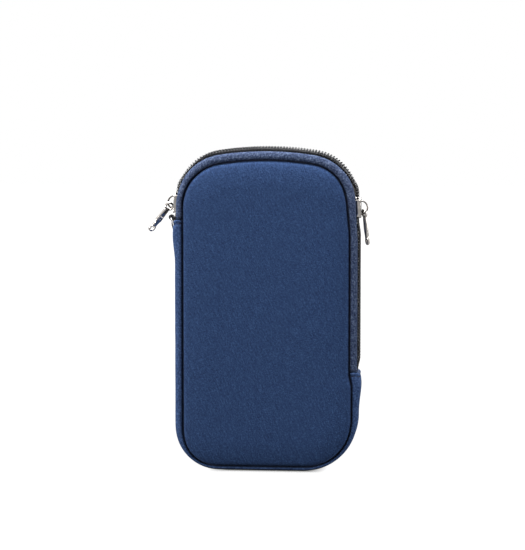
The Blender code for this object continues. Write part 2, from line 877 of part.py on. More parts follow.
# Strap ring: a wire ring through the loop's eye, leaning in towards the gusset
bpy.ops.mesh.primitive_torus_add(
    major_segments=24,
    minor_segments=8,
    major_radius=ring_radius,
    minor_radius=ring_wire,
)
strap_ring = bpy.context.object
strap_ring.name = "strap_ring"
strap_ring.users_collection[0].objects.unlink(strap_ring)
sleeve.objects.link(strap_ring)
eye_sag = (ring_radius - (ring_radius**2 - (loop_width / 2) ** 2) ** 0.5) / 2
stand = Matrix.Rotation(radians(90), 4, "Y")
drop = Matrix.Translation(Vector((0, 0, eye_sag - ring_radius)))
swing = Matrix.Rotation(radians(-ring_lean), 4, "Y")
strap_ring.data.transform(swing @ drop @ stand)
strap_ring.location = eye_middle
finish(strap_ring, nickel, 0.3, 1.0, round_angle=60)
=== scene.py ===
from math import acos, ceil, cos, exp, pi, radians, sin, sqrt

import bmesh
import bpy
from mathutils import Matrix, Vector, noise


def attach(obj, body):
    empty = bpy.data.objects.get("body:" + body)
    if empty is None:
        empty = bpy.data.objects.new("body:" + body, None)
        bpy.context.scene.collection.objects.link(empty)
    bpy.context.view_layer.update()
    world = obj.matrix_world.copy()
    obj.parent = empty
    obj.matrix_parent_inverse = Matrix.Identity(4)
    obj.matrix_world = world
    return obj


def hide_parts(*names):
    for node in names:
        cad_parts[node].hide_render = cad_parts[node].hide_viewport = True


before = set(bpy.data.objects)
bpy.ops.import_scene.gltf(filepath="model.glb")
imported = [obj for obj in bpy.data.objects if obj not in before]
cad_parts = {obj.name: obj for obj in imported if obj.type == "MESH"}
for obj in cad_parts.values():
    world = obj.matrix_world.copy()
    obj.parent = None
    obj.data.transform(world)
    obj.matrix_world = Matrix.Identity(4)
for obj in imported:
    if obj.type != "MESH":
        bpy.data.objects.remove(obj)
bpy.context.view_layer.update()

mm = 0.001
sides = {"front": -1, "rear": 1}

# The outline is the sleeve's skin seen from the front
outline = {
    "halfWidth": 45.3,
    "lowCornerRight": 26.5, "lowCornerLeft": 21.5, "topCorner": 26.0, "crown": 150.0,  # radii
    "shoulderHeight": 130.1,
    "sideInset": 4.0,  # skin to panel seam
    "bottomInset": 1.7,
    "gussetInset": 2.8,  # the same on the right, under the zip's end
    "insetRun": 7.0,
    "shoulderInset": 1.3,  # further in beside the right slider,
    "shoulderMiddle": 4.0,  # most at this height above the shoulder
    "shoulderRun": 20.0,
    "seamDepth": 9.2,  # middle of the sleeve to the seam
    "gap": 0.3,
}
halfWidth, topCorner, crownRadius = outline["halfWidth"], outline["topCorner"], outline["crown"]
lowRight, lowLeft = outline["lowCornerRight"], outline["lowCornerLeft"]
shoulderHeight, seamDepth = outline["shoulderHeight"], outline["seamDepth"]
cornerAngle = acos((halfWidth - topCorner) / (crownRadius - topCorner))
crownCentre = shoulderHeight - (crownRadius - topCorner) * sin(cornerAngle)


# Lengths round the skin at which one half's corner, side, top corner and crown start, and its end
def arcMarks(lowRadius):
    corner = halfWidth - lowRadius
    side = corner + lowRadius * pi / 2
    shoulder = side + shoulderHeight - lowRadius
    crown = shoulder + topCorner * cornerAngle
    return corner, side, shoulder, crown, crown + crownRadius * (pi / 2 - cornerAngle)


rightMarks, leftMarks = arcMarks(lowRight), arcMarks(lowLeft)
wholeLength = rightMarks[-1] + leftMarks[-1]


def halfFrame(s, lowRadius, marks):
    corner, side, shoulder, crown, _ = marks
    if s <= corner:
        return Vector((s, 0, 0)), Vector((0, 0, -1))
    if s <= side:
        turn = (s - corner) / lowRadius
        out = Vector((sin(turn), 0, -cos(turn)))
        return Vector((corner, 0, lowRadius)) + lowRadius * out, out
    if s <= shoulder:
        return Vector((halfWidth, 0, lowRadius + s - side)), Vector((1, 0, 0))
    if s <= crown:
        turn = (s - shoulder) / topCorner
        out = Vector((cos(turn), 0, sin(turn)))
        return Vector((halfWidth - topCorner, 0, shoulderHeight)) + topCorner * out, out
    turn = cornerAngle + (s - crown) / crownRadius
    out = Vector((cos(turn), 0, sin(turn)))
    return Vector((0, 0, crownCentre)) + crownRadius * out, out


# Point and outward direction on the skin, s mm round from the middle of the bottom
def skinFrame(s):
    s = s % wholeLength
    if s <= rightMarks[-1]:
        return halfFrame(s, lowRight, rightMarks)
    point, out = halfFrame(wholeLength - s, lowLeft, leftMarks)
    return Vector((-point.x, 0, point.z)), Vector((-out.x, 0, out.z))


def rightLength(height):
    return rightMarks[1] + height - lowRight


def leftLength(height):
    return wholeLength - (leftMarks[1] + height - lowLeft)


def ease(x):
    x = min(1.0, max(0.0, x))
    return x * x * (3 - 2 * x)


# Distance in from the skin to the panel's seam
def seamInset(s):
    point = skinFrame(s)[0]
    side, corner = outline["sideInset"], lowLeft
    if point.x > 0:
        under = ease((zipper["endRight"] - point.z) / outline["insetRun"])
        side += (outline["gussetInset"] - side) * under
        away = abs(point.z - shoulderHeight - outline["shoulderMiddle"])
        side += outline["shoulderInset"] * ease(1 - away / outline["shoulderRun"])
        corner = lowRight
    return outline["bottomInset"] + (side - outline["bottomInset"]) * ease(point.z / corner)


# Gentle unevenness of hand-sewn foam, always the same at the same place
seedGap = 7.3  # the seeds lie this far apart in the noise


def drift(x, y, size, seed):
    return noise.noise(Vector((x / size, y / size, seed * seedGap)))


# How deep a foam edge rolled over within this run has dropped, away mm from its groove
def rolledDrop(away, run, drop):
    roll = max(0.0, 1 - away / run)
    return drop * (1 - sqrt(max(0.0, 1 - roll * roll)))


# The zip: heights count outward from the skin, depths from the sleeve's middle, backs from a
# row's nose, and lengths along the chain
zipper = {
    "endRight": 48.3,  # height of the closed end
    "leftEndDrop": 7.0,
    "chainEndGap": 2.2,
    "pitch": 1.45,
    "bite": 0.45,  # how far the rows reach past the middle where closed
    "floor": -1.3,  # in the sliders
    "rise": 0.9,  # and this much higher between them
    "endTuck": 1.3, "endTuckRun": 8.0,
    "closedEdge": 5.2,  # depth of the band's zip edge
    "openEdge": 7.2, "openRise": 0.3,
    "openNoseHeight": 2.7, "openNoseDepth": 5.3, "openRun": 26.0,
    "sliderLength": 10.2, "sliderRiseRight": 0.1, "sliderRiseLeft": 2.1,
    "spreadBack": 2.0, "spreadRun": 5.0,  # the rows part over this run, begun so far below
    "postReach": 1.0,  # the slider's post holds the noses this far off the middle
    "straightHalf": 5.6, "straightFade": 8.0,
    "edgeThickness": 1.3,  # the band's foam at the zip and at the seam
    "seamThickness": 2.4,
}
endLeft = shoulderHeight - zipper["leftEndDrop"]
rightSliderS = rightLength(shoulderHeight + zipper["sliderRiseRight"])
leftSliderS = leftLength(shoulderHeight + zipper["sliderRiseLeft"])
zipStart = rightLength(zipper["endRight"]) + outline["gap"]
zipFinish = leftLength(endLeft) - outline["gap"]
chainFinish = leftLength(endLeft + zipper["chainEndGap"])


# How far s lies into the open part of the mouth, past the nearer slider
def mouthward(s):
    return min(s - rightSliderS, leftSliderS - s)


def spreadShare(s):
    return ease((mouthward(s) + zipper["spreadBack"]) / zipper["spreadRun"])


def openShare(s):
    return ease((mouthward(s) - zipper["sliderLength"] / 2) / zipper["openRun"])


# 1 inside a slider, where the chain is held straight, fading to 0 on both sides
def sliderHold(s, middle):
    return 1 - ease((abs(s - middle) - zipper["straightHalf"]) / zipper["straightFade"])


def chainFrame(s):
    point, out = skinFrame(s)
    for middle in (rightSliderS, leftSliderS):
        hold = sliderHold(s, middle)
        if hold > 0:
            start, straightOut = skinFrame(middle)
            along = Vector((-straightOut.z, 0, straightOut.x))
            point = point.lerp(start + (s - middle) * along, hold)
            out = out.lerp(straightOut, hold).normalized()
    return point, out


def placeAt(at, height, depth):
    point, out = at
    return (point + out * height + Vector((0, depth, 0))) * mm


# Height and depth of the band's section, at a turn of 90 at the seam and 0 at the zip edge
def bendPoint(s, turn, inward=0.0):
    share = openShare(s)
    inset = seamInset(s) - outline["gap"] / 2
    edge = zipper["closedEdge"] + (zipper["openEdge"] - zipper["closedEdge"]) * share
    reach = inset + zipper["openRise"] * share
    bulge = seamDepth - edge
    angle = radians(turn)
    out = Vector((cos(angle) / reach, sin(angle) / bulge)).normalized()
    return -inset + reach * cos(angle) - out.x * inward, edge + bulge * sin(angle) - out.y * inward


def bandWall(turn):
    return zipper["edgeThickness"] + (zipper["seamThickness"] - zipper["edgeThickness"]) * turn / 90


# Height and depth of a place in one row, back from its nose and up from the tape
def chainPoint(s, back, up):
    share = openShare(s)
    startDepth = -zipper["bite"] + (zipper["bite"] + zipper["postReach"]) * spreadShare(s)
    noseDepth = startDepth + (zipper["openNoseDepth"] - zipper["postReach"]) * share
    hold = max(sliderHold(s, rightSliderS), sliderHold(s, leftSliderS))
    floor = zipper["floor"] + zipper["rise"] * (1 - hold)
    noseHeight = floor + (zipper["openNoseHeight"] - floor) * share
    noseHeight -= zipper["endTuck"] * ease(1 - (s - zipStart) / zipper["endTuckRun"])
    tilt = share * pi / 2
    return (
        noseHeight - back * sin(tilt) + up * cos(tilt),
        noseDepth + back * cos(tilt) + up * sin(tilt),
    )


# Mesh tools
def addObject(name, data):
    made = bpy.data.objects.new(name, data)
    bpy.context.scene.collection.objects.link(made)
    return made


def addMesh(name, shape):
    mesh = bpy.data.meshes.new(name)
    shape.to_mesh(mesh)
    shape.free()
    return addObject(name, mesh)


def addSheet(name, corners):
    shape = bmesh.new()
    for corner in corners:
        shape.verts.new(corner)
    shape.faces.new(shape.verts)
    return addMesh(name, shape)


# Skins closed rings of equal length; laid gives each point's place on the flat cloth in mm
def skinRings(name, rings, laid, capEnds=True):
    shape = bmesh.new()
    uv = shape.loops.layers.uv.new("laidFlat")
    grid = [[shape.verts.new(point) for point in ring] for ring in rings]
    around = len(rings[0])
    for i in range(len(rings) - 1):
        for j in range(around):
            m = (j + 1) % around
            face = shape.faces.new((grid[i][j], grid[i][m], grid[i + 1][m], grid[i + 1][j]))
            corners = (laid(i, j), laid(i, j + 1), laid(i + 1, j + 1), laid(i + 1, j))
            for loop, corner in zip(face.loops, corners):
                loop[uv].uv = corner
            face.smooth = True
    if capEnds:
        for ring in (grid[0], grid[-1]):
            face = shape.faces.new(ring)
            for loop in face.loops:
                loop[uv].uv = laid(0, 0)
    bmesh.ops.recalc_face_normals(shape, faces=shape.faces)
    return addMesh(name, shape)


# Sweeps a round or oval section along paths; ups hold the section's upright direction
def sweep(name, paths, width, height=None, facets=6, closed=False):
    height = height or width
    shape = bmesh.new()
    uv = shape.loops.layers.uv.new("laidFlat")
    girth = pi * (width + height) / 2 / facets
    for points, ups in paths:
        rings, runs, run = [], [], 0.0
        count = len(points)
        for i, point in enumerate(points):
            before = points[i - 1] if closed or i else points[i]
            after = points[(i + 1) % count] if closed or i < count - 1 else points[i]
            along = (after - before).normalized()
            across = along.cross(ups[i]).normalized()
            upright = across.cross(along)
            ring = []
            for j in range(facets):
                turn = 2 * pi * j / facets
                aside, rise = cos(turn) * width / 2 * mm, sin(turn) * height / 2 * mm
                ring.append(shape.verts.new(point + across * aside + upright * rise))
            rings.append(ring)
            run += (point - before).length / mm if i else 0.0
            runs.append(run)
        for i in range(count if closed else count - 1):
            k = (i + 1) % count
            ends = runs[i], runs[k] if k else runs[i] + (points[0] - points[-1]).length / mm
            for j in range(facets):
                m = (j + 1) % facets
                face = shape.faces.new((rings[i][j], rings[i][m], rings[k][m], rings[k][j]))
                for loop, corner in zip(face.loops, ((0, 0), (0, 1), (1, 1), (1, 0))):
                    loop[uv].uv = (ends[corner[0]], (j + corner[1]) * girth)
                face.smooth = True
        if not closed:
            shape.faces.new(rings[0])
            shape.faces.new(rings[-1])
    bmesh.ops.recalc_face_normals(shape, faces=shape.faces)
    return addMesh(name, shape)


lastRun = 2.0  # laid flat, the face that closes a strip's ring is this wide


# Skins a strip of foam from its rings of (height, depth). Its ends slant: lean is 1 where they
# are pushed into the strip at the seams, and -1 where they reach out there.
def skinStrip(name, stations, ringAt, side, lean):
    rings, cloth = [], []
    for s in stations:
        section = ringAt(s)
        runs = [0.0]
        for (h1, d1), (h2, d2) in zip(section, section[1:]):
            runs.append(runs[-1] + sqrt((h1 - h2) ** 2 + (d1 - d2) ** 2))
        runs.append(runs[-1] + lastRun)
        cloth.append((s, runs))
        ring = []
        for height, depth in section:
            pushed = slanted(s - stations[0], depth) - slanted(stations[-1] - s, depth)
            ring.append(placeAt(skinFrame(s + lean * pushed), height, side * depth))
        rings.append(ring)

    def laid(i, j):
        s, runs = cloth[i]
        return (runs[j], s)

    return skinRings(name, rings, laid)


# Materials
def hexColour(code):
    def linear(part):
        share = int(part, 16) / 255
        return share / 12.92 if share <= 0.04045 else ((share + 0.055) / 1.055) ** 2.4

    return (linear(code[1:3]), linear(code[3:5]), linear(code[5:7]), 1.0)


# Adds a node: settings go on the node or on its inputs and stops on its colour ramp, and links
# join its inputs to another node's first output or to the output given
def addNode(material, kind, settings={}, links={}, stops=()):
    tree = material.node_tree
    node = tree.nodes.new("ShaderNode" + kind)
    for key, value in settings.items():
        if isinstance(key, str) and hasattr(node, key):
            setattr(node, key, value)
        else:
            node.inputs[key].default_value = value
    for key, source in links.items():
        output = source.outputs[0] if isinstance(source, bpy.types.Node) else source
        tree.links.new(output, node.inputs[key])
    for i, (place, colour) in enumerate(stops):
        elements = node.color_ramp.elements
        if i == len(elements):
            elements.new(place)
        elements[i].position, elements[i].color = place, hexColour(colour)
    return node


def newMaterial(name):
    made = bpy.data.materials.new(name)
    made.use_nodes = True
    made.node_tree.nodes.clear()
    return made


def endMaterial(material, shader):
    addNode(material, "OutputMaterial", links={"Surface": shader})
    return material


def wear(thing, material):
    thing.data.materials.clear()
    thing.data.materials.append(material)


mapEnds = ("From Min", "From Max", "To Min", "To Max")
waveUnit = 2 * pi / 20  # a wave texture's bands lie this far apart at a scale of 1


# Painted shade in the grooves: where AO finds something within a reach in mm, the colour is
# darkened down to the share of it left where a place is shut, for each kind of surface
paintedCreviceShade = {"shut": 0.35, "open": 0.78, "cloth": (3.5, 0.4), "metal": (2.0, 0.05)}
# Painted shade: the cloth's sheen is taken out where a place is shut
sheenShadeEnds = (0.3, 0.8)  # how open a place is where the sheen starts and ends to show


# Darkens a colour where AO finds something close: painted shade
def paintCreviceShade(material, colour, reach, share):
    near = addNode(material, "AmbientOcclusion", {"samples": 6, "Distance": reach * mm})
    openness = near.outputs["AO"]
    ends = dict(zip(mapEnds, (paintedCreviceShade["shut"], paintedCreviceShade["open"], share, 1.0)))
    value = addNode(material, "MapRange", ends, {"Value": openness})
    return addNode(material, "HueSaturation", {}, {"Value": value, "Color": colour}), openness


# Polyester jersey laminated to neoprene foam, piece-dyed: soft marled navy, a matt pile that
# catches light at the rims, and slanting streaks where the loops lean
def jerseyNeoprene(name, look):
    cloth = newMaterial(name)
    place = addNode(cloth, "UVMap", {"uv_map": "laidFlat"})

    def leaningNoise(width, length, settings):
        scale, lean = (look[width], look[length], 1), (0, 0, radians(look["lean"]))
        turned = addNode(
            cloth, "Mapping", {"vector_type": "TEXTURE", "Rotation": lean, "Scale": scale},
            {"Vector": place},
        )
        return addNode(cloth, "TexNoise", {"Scale": 1.0, **settings}, {"Vector": turned})

    mixed = leaningNoise("streakWidth", "streakLength", {"Detail": 2.0, "Roughness": 0.55})
    bands = leaningNoise("bandWidth", "bandLength", {"Detail": 1.0})
    speck = addNode(
        cloth, "TexNoise", {"Scale": 1 / look["speck"], "Detail": 1.0}, {"Vector": place},
    )
    for pattern, share in ((speck, look["speckShare"]), (bands, look["bandShare"])):
        weight = {"operation": "MULTIPLY_ADD", 1: share}
        mixed = addNode(cloth, "Math", weight, {0: pattern, 2: mixed})
    middle = 0.5 * (1 + look["speckShare"] + look["bandShare"])  # the noises' mean
    ends = dict(zip(mapEnds, (middle - look["spread"], middle + look["spread"])))
    level = addNode(cloth, "MapRange", ends, {"Value": mixed})
    colour = addNode(
        cloth, "ValToRGB", {}, {"Fac": level},
        ((0.0, look["dark"]), (0.5, look["middle"]), (1.0, look["light"])),
    )
    # Painted shade in the grooves and where the cloth nears the floor
    colour, openness = paintCreviceShade(cloth, colour, *paintedCreviceShade["cloth"])
    # Knit loops are 0.35 mm apart on the real cloth; drawn at loopWidth so that they show
    loops = addNode(
        cloth, "TexWave",
        {"Scale": waveUnit / look["loopWidth"], "Distortion": 1.5, "Detail": 1.0},
        {"Vector": place},
    )
    relief = addNode(
        cloth, "Math", {"operation": "MULTIPLY_ADD", 1: look["loopRelief"]},
        {0: loops.outputs["Fac"], 2: mixed},
    )
    bump = addNode(
        cloth, "Bump", {"Strength": look["relief"], "Distance": 0.2 * mm}, {"Height": relief},
    )
    # Painted shade: the sheen fades where AO finds something close, in the grooves and by the
    # floor; the export leaves this out
    ends = dict(zip(mapEnds, (*sheenShadeEnds, 0.0, look["sheen"])))
    sheen = addNode(cloth, "MapRange", ends, {"Value": openness})
    shader = addNode(
        cloth, "BsdfPrincipled",
        {
            "Roughness": look["roughness"], "IOR": 1.5, "Specular IOR Level": 0.2,
            "Sheen Roughness": 0.4, "Sheen Tint": hexColour(look["sheenTint"]),
        },
        {"Base Color": colour, "Normal": bump, "Sheen Weight": sheen},
    )
    return endMaterial(cloth, shader)


# Sizes in mm; lean in degrees
panelLook = {
    "dark": "#15274a", "middle": "#263d64", "light": "#3a5684", "spread": 0.35, "lean": 24.0,
    "streakWidth": 0.62, "streakLength": 1.1, "speck": 0.5, "speckShare": 0.9,
    "bandWidth": 0.85, "bandLength": 6.0, "bandShare": 0.45, "loopWidth": 0.7, "loopRelief": 0.35,
    "relief": 0.6, "roughness": 0.85, "sheen": 0.3, "sheenTint": "#7f9fd4",
}
bandLook = dict(
    panelLook, dark="#141e37", middle="#344260", light="#657390", lean=30.0,
    streakWidth=0.9, streakLength=1.5, speck=0.8, speckShare=1.0, bandWidth=1.6,
    relief=0.7, roughness=0.8, sheen=0.18, sheenTint="#93a9d6",
)
gussetLook = dict(
    bandLook, dark="#1a2b4f", middle="#2f466f", light="#4a6390", sheen=0.25, sheenTint="#7f9fd4",
)
liningLook = dict(
    panelLook, dark="#10131a", middle="#171b25", light="#1f2431", sheen=0.15, sheenTint="#8f99b0",
)


# Woven polyester, loom-dyed: dull black with a fine rib that glints where threads turn
def wovenTape(name, look):
    cloth = newMaterial(name)
    place = addNode(cloth, "UVMap", {"uv_map": "laidFlat"})
    warp, weft = (
        addNode(
            cloth, "TexWave",
            {"bands_direction": way, "Scale": waveUnit / look["thread"], "Distortion": 0.4},
            {"Vector": place},
        ).outputs["Fac"]
        for way in "YX"
    )
    weave = addNode(cloth, "Math", {"operation": "MULTIPLY"}, {0: warp, 1: weft})
    colour = addNode(
        cloth, "ValToRGB", {}, {"Fac": weave}, ((0.0, look["dark"]), (1.0, look["light"])),
    )
    bump = addNode(cloth, "Bump", {"Strength": 0.6, "Distance": 0.15 * mm}, {"Height": weave})
    shader = addNode(
        cloth, "BsdfPrincipled",
        {"Roughness": look["roughness"], "IOR": 1.5, "Sheen Weight": 0.15, "Sheen Roughness": 0.5},
        {"Base Color": colour, "Normal": bump},
    )
    return endMaterial(cloth, shader)


# Drawn filament, nylon heat-set into a coil or polyester spun into thread: a soft gloss along
# each loop, over a faint mottle
def drawnNylon(name, look):
    plastic = newMaterial(name)
    place = addNode(plastic, "UVMap", {"uv_map": "laidFlat"})
    mottle = addNode(plastic, "TexNoise", {"Scale": 1 / look["grain"]}, {"Vector": place})
    colour = addNode(
        plastic, "ValToRGB", {}, {"Fac": mottle}, ((0.3, look["dark"]), (0.7, look["light"])),
    )
    bump = addNode(plastic, "Bump", {"Strength": 0.2, "Distance": 0.05 * mm}, {"Height": mottle})
    shader = addNode(
        plastic, "BsdfPrincipled", {"Roughness": look["roughness"], "IOR": 1.53},
        {"Base Color": colour, "Normal": bump},
    )
    return endMaterial(plastic, shader)


# Zinc die-cast, tumbled and bright nickel plated: warm silver, mirror-like with faint casting waves
def nickelPlate(name, look):
    metal = newMaterial(name)
    place = addNode(metal, "TexCoord").outputs["Object"]
    waves, scuff = (
        addNode(metal, "TexNoise", {"Scale": 1 / (size * mm), "Detail": fine}, {"Vector": place})
        for size, fine in ((look["wave"], 1.0), (look["scuff"], 3.0))
    )
    ends = dict(zip(mapEnds, (0.3, 0.7, look["roughness"] * 0.7, look["roughness"] * 1.5)))
    shine = addNode(metal, "MapRange", ends, {"Value": scuff})
    colour = addNode(
        metal, "ValToRGB", {}, {"Fac": waves}, ((0.3, look["dark"]), (0.7, look["light"])),
    )
    # Painted shade in the metal's recesses
    colour, _ = paintCreviceShade(metal, colour, *paintedCreviceShade["metal"])
    bump = addNode(metal, "Bump", {"Strength": 0.25, "Distance": 0.05 * mm}, {"Height": waves})
    shader = addNode(
        metal, "BsdfPrincipled", {"Metallic": 1.0},
        {"Base Color": colour, "Roughness": shine, "Normal": bump},
    )
    return endMaterial(metal, shader)


# Threads lie about 0.3 mm apart on the real tapes; drawn at these mm so that they show
tapeLook = {"thread": 0.5, "dark": "#08080a", "light": "#1d1d22", "roughness": 0.75}
webbingLook = {"thread": 0.4, "dark": "#09090b", "light": "#24242b", "roughness": 0.7}
bindingLook = {"thread": 0.6, "dark": "#0a0a0d", "light": "#22232b", "roughness": 0.8}
coilLook = {"grain": 0.8, "dark": "#121216", "light": "#26262c", "roughness": 0.38}
threadLook = {"grain": 0.2, "dark": "#0c0c10", "light": "#1c1c22", "roughness": 0.6}
navyThreadLook = dict(threadLook, dark="#0d152c", light="#1a2544", roughness=0.8)
pullLook = {"wave": 2.5, "scuff": 0.8, "dark": "#cfc9c4", "light": "#e6e2de", "roughness": 0.14}
sliderLook = {"wave": 2.0, "scuff": 0.6, "dark": "#c6c1bd", "light": "#dedad6", "roughness": 0.09}
# The crowns wear a darker copy of the slider's nickel: painted dark reflections
crownDarkReflectionLook = dict(sliderLook, dark="#8d8782", light="#b0aaa5")
ringLook = {"wave": 1.0, "scuff": 0.5, "dark": "#8d8c90", "light": "#b2b1b5", "roughness": 0.28}

jerseyPanel = jerseyNeoprene("jerseyNeoprenePanel", panelLook)
jerseyBand = jerseyNeoprene("jerseyNeopreneBand", bandLook)
jerseyGusset = jerseyNeoprene("jerseyNeopreneGusset", gussetLook)
blackLining = jerseyNeoprene("jerseyLining", liningLook)
blackTape = wovenTape("wovenPolyesterTape", tapeLook)
blackWebbing = wovenTape("wovenWebbing", webbingLook)
bindingTape = wovenTape("wovenBindingTape", bindingLook)
coilNylon = drawnNylon("drawnNylonCoil", coilLook)
sewingThread = drawnNylon("spunPolyesterThread", threadLook)
navyThread = drawnNylon("navyPolyesterThread", navyThreadLook)
pullNickel = nickelPlate("nickelPlatedZincPull", pullLook)
sliderNickel = nickelPlate("nickelPlatedZincSlider", sliderLook)
crownNickelDarkReflection = nickelPlate("nickelPlatedZincCrownDarkReflection", crownDarkReflectionLook)
ringSteel = nickelPlate("drawnSteelWire", ringLook)
print("materials made")


# Panels: puffed foam sheets that roll down into the seam groove
panelShape = {
    "thickness": 3.0, "crown": 2.3, "dip": 0.6, "swellRun": 14.0, "swellPower": 1.6,
    "rollRun": 1.7, "rollDrop": 2.0,  # round edge of the foam at the groove
    "step": 1.3,
    # rings so far in from the seam, and then at these shares of the way to the middle line
    "runs": (0.0, 0.08, 0.2, 0.38, 0.6, 0.85, 1.15, 1.6, 2.2, 3.0, 4.0, 5.2, 6.8, 8.6, 10.4, 12.0),
    "shares": (0.06, 0.14, 0.24, 0.35, 0.47, 0.6, 0.73, 0.86, 1.0),
    "middleEnds": (48.0, 112.0), "middleStep": 2.0,
    "unevenness": 0.16, "unevenSize": 24.0, "seed": 3,
    "calmRun": 8.0,  # even again towards the seam
    "pucker": 0.05, "puckerRun": 0.9, "stitchPitch": 2.6,
}


def panelDepth(run):
    share = min(1.0, run / panelShape["swellRun"])
    rise = 1 - (1 - sqrt(share)) ** panelShape["swellPower"]
    drop = rolledDrop(run, panelShape["rollRun"], panelShape["rollDrop"])
    return seamDepth - panelShape["dip"] + (panelShape["crown"] + panelShape["dip"]) * rise - drop


def buildPanel(where, side):
    count = ceil(wholeLength / panelShape["step"])
    stations = [wholeLength * i / count for i in range(count)]
    runs = panelShape["runs"]
    low, high = panelShape["middleEnds"]
    rings = []
    for run in runs:
        ring = []
        for s in stations:
            point, out = skinFrame(s)
            spot = point - out * (seamInset(s) + outline["gap"] / 2 + run)
            ring.append(Vector((spot.x, panelDepth(run), spot.z)))
        rings.append(ring)
    rim = rings[-1]
    for share in panelShape["shares"]:
        ring = []
        for point in rim:
            goal = Vector((0, point.y, min(high, max(low, point.z))))
            if share == 1:  # both sides meet at shared places on the middle line
                goal.z = panelShape["middleStep"] * round(goal.z / panelShape["middleStep"])
            ring.append(point.lerp(goal, share))
        rings.append(ring)
    for i, ring in enumerate(rings):
        run = runs[min(i, len(runs) - 1)]
        swell = panelShape["unevenness"] * ease(run / panelShape["calmRun"])
        tug = panelShape["pucker"] * (1 - ease(abs(run / panelShape["puckerRun"] - 1)))
        size, seed = panelShape["unevenSize"], panelShape["seed"] + side
        for k, point in enumerate(ring):
            lift = swell * drift(point.x, point.z, size, seed)
            lift -= tug * cos(2 * pi * stations[k] / panelShape["stitchPitch"])
            ring[k] = Vector((point.x, side * (point.y + lift), point.z)) * mm
    flat = [[(p.x / mm, p.z / mm) for p in ring] for ring in rings]

    def laid(i, j):
        return flat[i][j % count]

    panel = skinRings(where + "PanelFoam", rings, laid, capEnds=False)
    shape = bmesh.new()
    shape.from_mesh(panel.data)
    shape.verts.ensure_lookup_table()
    innermost = shape.verts[(len(rings) - 1) * count :]
    bmesh.ops.remove_doubles(shape, verts=innermost, dist=0.01 * mm)
    shape.normal_update()
    if sum(face.normal.y * face.calc_area() for face in shape.faces) * side < 0:
        bmesh.ops.reverse_faces(shape, faces=shape.faces)
    shape.to_mesh(panel.data)
    shape.free()
    wear(panel, jerseyPanel)
    panel.data.materials.append(blackLining)
    wall = panel.modifiers.new("foam", "SOLIDIFY")
    wall.thickness = panelShape["thickness"] * mm
    wall.offset = -1
    wall.material_offset = 1
    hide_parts(where + "_panel")
    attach(panel, "sleeve")


for where, side in sides.items():
    buildPanel(where, side)
print("panels made")

# Lower gusset: one strip round the bottom, its ends folded under in a rounded lip
gussetShape = {
    "step": 1.3, "turns": 13, "puff": 0.45,
    "foldRadius": 0.9, "foldTurns": (0, 12, 30, 48, 66, 84),
    # extra rings so far from each end, and on the outer face at these shares of its half width
    "endRings": (1.05, 1.2, 1.4, 1.55, 1.7, 1.9, 2.1, 2.3, 2.6, 3.0, 3.6, 4.4, 5.4, 6.3, 7.2),
    "endGap": 0.5, "middleShares": (0.6, 0.2, -0.2, -0.6),
    "bulgeRight": 1.3, "runRight": 14.0, "bulgeLeft": 1.1, "runLeft": 15.0,
    "bulgeAt": 6.0, "lipShare": 0.6,
    "crease": 1.9, "creaseWidth": 0.45, "creaseDepth": 0.3,  # where the end is stitched down
    "lipAt": 1.1, "lipSwell": 0.1,
    "slant": 1.3, "slantRun": 8.0,  # the ends reach further at the seams than at the middle
    "unevenness": 0.1, "unevenSize": 10.0, "seed": 9,
}
gussetRight = rightLength(zipper["endRight"])
gussetLeft = leftLength(endLeft) - wholeLength


def gussetPoint(s, turn, above=0.0):
    shape, rise = gussetShape, 0.0
    lift = shape["unevenness"] * drift(s, 0, shape["unevenSize"], shape["seed"])
    for away, bulged, run in (
        (s - gussetLeft, shape["bulgeLeft"], shape["runLeft"]),
        (gussetRight - s, shape["bulgeRight"], shape["runRight"]),
    ):
        peak, fold = shape["bulgeAt"], shape["foldRadius"]
        lip = shape["lipShare"] + (1 - shape["lipShare"]) * ease(away / peak)
        lift += bulged * (lip if away < peak else ease(1 - (away - peak) / run))
        creased = (away - shape["crease"]) / shape["creaseWidth"]
        rise -= shape["creaseDepth"] * exp(-(creased ** 2))
        rise += shape["lipSwell"] * ease(1 - abs(away - shape["lipAt"]) / shape["lipAt"])
        if away < fold:
            rise -= fold * (1 - sqrt(max(0.0, 1 - (1 - away / fold) ** 2)))
    inset = seamInset(s) - outline["gap"] / 2
    bulge = seamDepth - zipper["closedEdge"]
    angle = radians(turn)
    out = Vector((cos(angle) / inset, sin(angle) / bulge)).normalized()
    rise += shape["puff"] * sin(2 * angle) + above
    height = -inset + (inset + lift) * cos(angle)
    depth = zipper["closedEdge"] + bulge * sin(angle) - grooveDrop(height + inset)
    return height + out.x * rise, depth + out.y * rise


# How far a folded end, away mm off, is pushed along the skin at this depth
def slanted(away, depth):
    near = ease(1 - away / gussetShape["slantRun"])
    return gussetShape["slant"] * near * min(1.0, abs(depth) / seamDepth) ** 2


# How far the foam's cut edge dips into the seam groove, away mm from the seam
def grooveDrop(away):
    return rolledDrop(away, bandShape["seamRoll"], bandShape["seamDrop"])


# Zip bands: strips of the same foam, rounded over from the seam to the stitched zip edge
bandShape = {
    "step": 1.2, "turns": 15, "lipTurns": 5,
    "innerTurns": 8, "innerEnd": 84.0,  # the inner face stops this far round, by the seam
    "seamRoll": 1.7, "seamDrop": 1.6, "puff": 0.45,
    "dipSides": 0.35, "dipRight": 0.9, "dipLeft": 0.3, "dipRun": 17.0,
    "unevenness": 0.14, "unevenSize": 9.0, "seed": 5, "seedRow": 20.0,
}


# How far the zip edge lies under the skin: more on the sides, most by the sliders
def edgeDip(s):
    dip = bandShape["dipSides"] * (1 - openShare(s))
    for middle, deep in ((rightSliderS, "dipRight"), (leftSliderS, "dipLeft")):
        dip += bandShape[deep] * ease(1 - abs(s - middle) / bandShape["dipRun"])
    return dip


# A point of the band's section, inward mm under its face
def dippedPoint(s, turn, inward):
    height, depth = bendPoint(s, turn, inward)
    return height - edgeDip(s) * cos(radians(turn)) ** 2, depth


